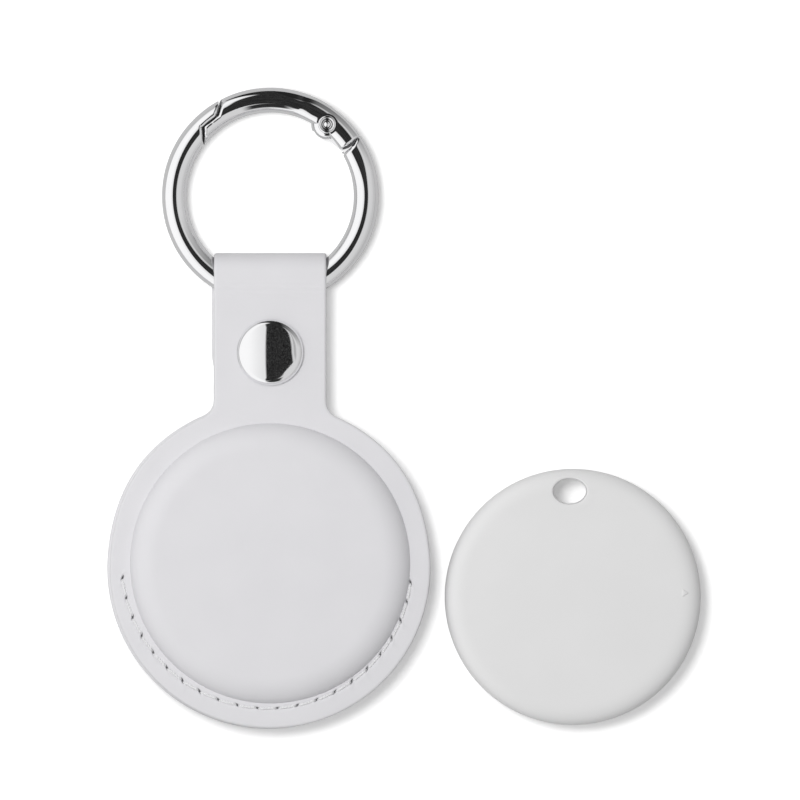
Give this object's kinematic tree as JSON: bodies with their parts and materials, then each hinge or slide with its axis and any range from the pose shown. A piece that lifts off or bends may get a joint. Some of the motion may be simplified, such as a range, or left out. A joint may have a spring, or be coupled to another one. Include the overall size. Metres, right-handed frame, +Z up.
{
  "type": "tracker tag case",
  "caption": "Sewn leather key case with a moulded round pocket, snap strap and spring-gate ring, and the round tracker tag that it holds lying beside it.",
  "frame": {"origin": "on the table, on the flat back of the round pocket, under the middle of the sewn disc", "axes": "+Y from the pocket to the key ring, +Z up from the table through the front of the case, +X towards the tag"},
  "size_m": [0.0903, 0.0976, 0.0087],
  "materials": {
    "leather": "smooth coated leather",
    "thread": "waxed thread",
    "chrome": "polished",
    "steel": "plated",
    "tag_plastic": "fine satin",
    "seal_rubber": "matte",
    "board": "solder mask",
    "black_plastic": "moulded"
  },
  "bodies": {
    "case": {"front_panel": "leather", "back_panel": "leather", "upper_thread": "thread", "bobbin_thread": "thread", "snap_cap": "chrome", "snap_stud": "chrome"},
    "strap": {"strap_tail": "leather", "snap_socket": "steel", "socket_spring": "steel", "snap_back_cap": "chrome"},
    "flap": {"back_flap": "leather"},
    "ring": {"ring_frame": "chrome", "gate_pin": "chrome"},
    "gate": {"ring_gate": "chrome", "gate_spring": "steel"},
    "tag": {"tag_base": "tag_plastic", "tag_seal": "seal_rubber", "circuit_board": "board", "positive_contact": "steel", "negative_contact": "steel", "sounder": "black_plastic", "shield_can": "steel", "antenna": "black_plastic"},
    "cover": {"tag_cover": "tag_plastic"},
    "cell": {"coin_cell": "steel"}
  },
  "joints": [
    {"name": "strap_unsnap", "type": "hinge", "parent": "case", "child": "strap", "pos_m": [0, 0.04518, 0], "axis": [1, 0, 0], "range_deg": [0, 150]},
    {"name": "pocket_flap", "type": "hinge", "parent": "case", "child": "flap", "pos_m": [0, 0.002, 0], "axis": [-1, 0, 0], "range_deg": [0, 20]},
    {"name": "ring_turn", "type": "hinge", "parent": "case", "child": "ring", "pos_m": [0, 0.0566, 0.003], "axis": [0, 0, 1], "range_deg": [-80, 75]},
    {"name": "gate_open", "type": "hinge", "parent": "ring", "child": "gate", "pos_m": [0.00865, 0.06748, 0.003], "axis": [0, 0, 1], "range_deg": [0, 30], "stiffness_Nm_per_rad": 0.01, "springref_deg": -11.46},
    {"name": "tag_lift", "type": "slide", "parent": "case", "child": "tag", "axis": [0, 0, 1], "range_m": [0, 0.04]},
    {"name": "cover_lift", "type": "slide", "parent": "tag", "child": "cover", "axis": [0, 0, 1], "range_m": [0, 0.016]},
    {"name": "cell_lift", "type": "slide", "parent": "tag", "child": "cell", "axis": [0, 0, 1], "range_m": [0, 0.008]}
  ],
  "couplings": [
    {"joint": "strap_unsnap", "follows": "pocket_flap", "ratio": 7.5},
    {"joint": "cell_lift", "follows": "cover_lift", "ratio": 0.5}
  ]
}
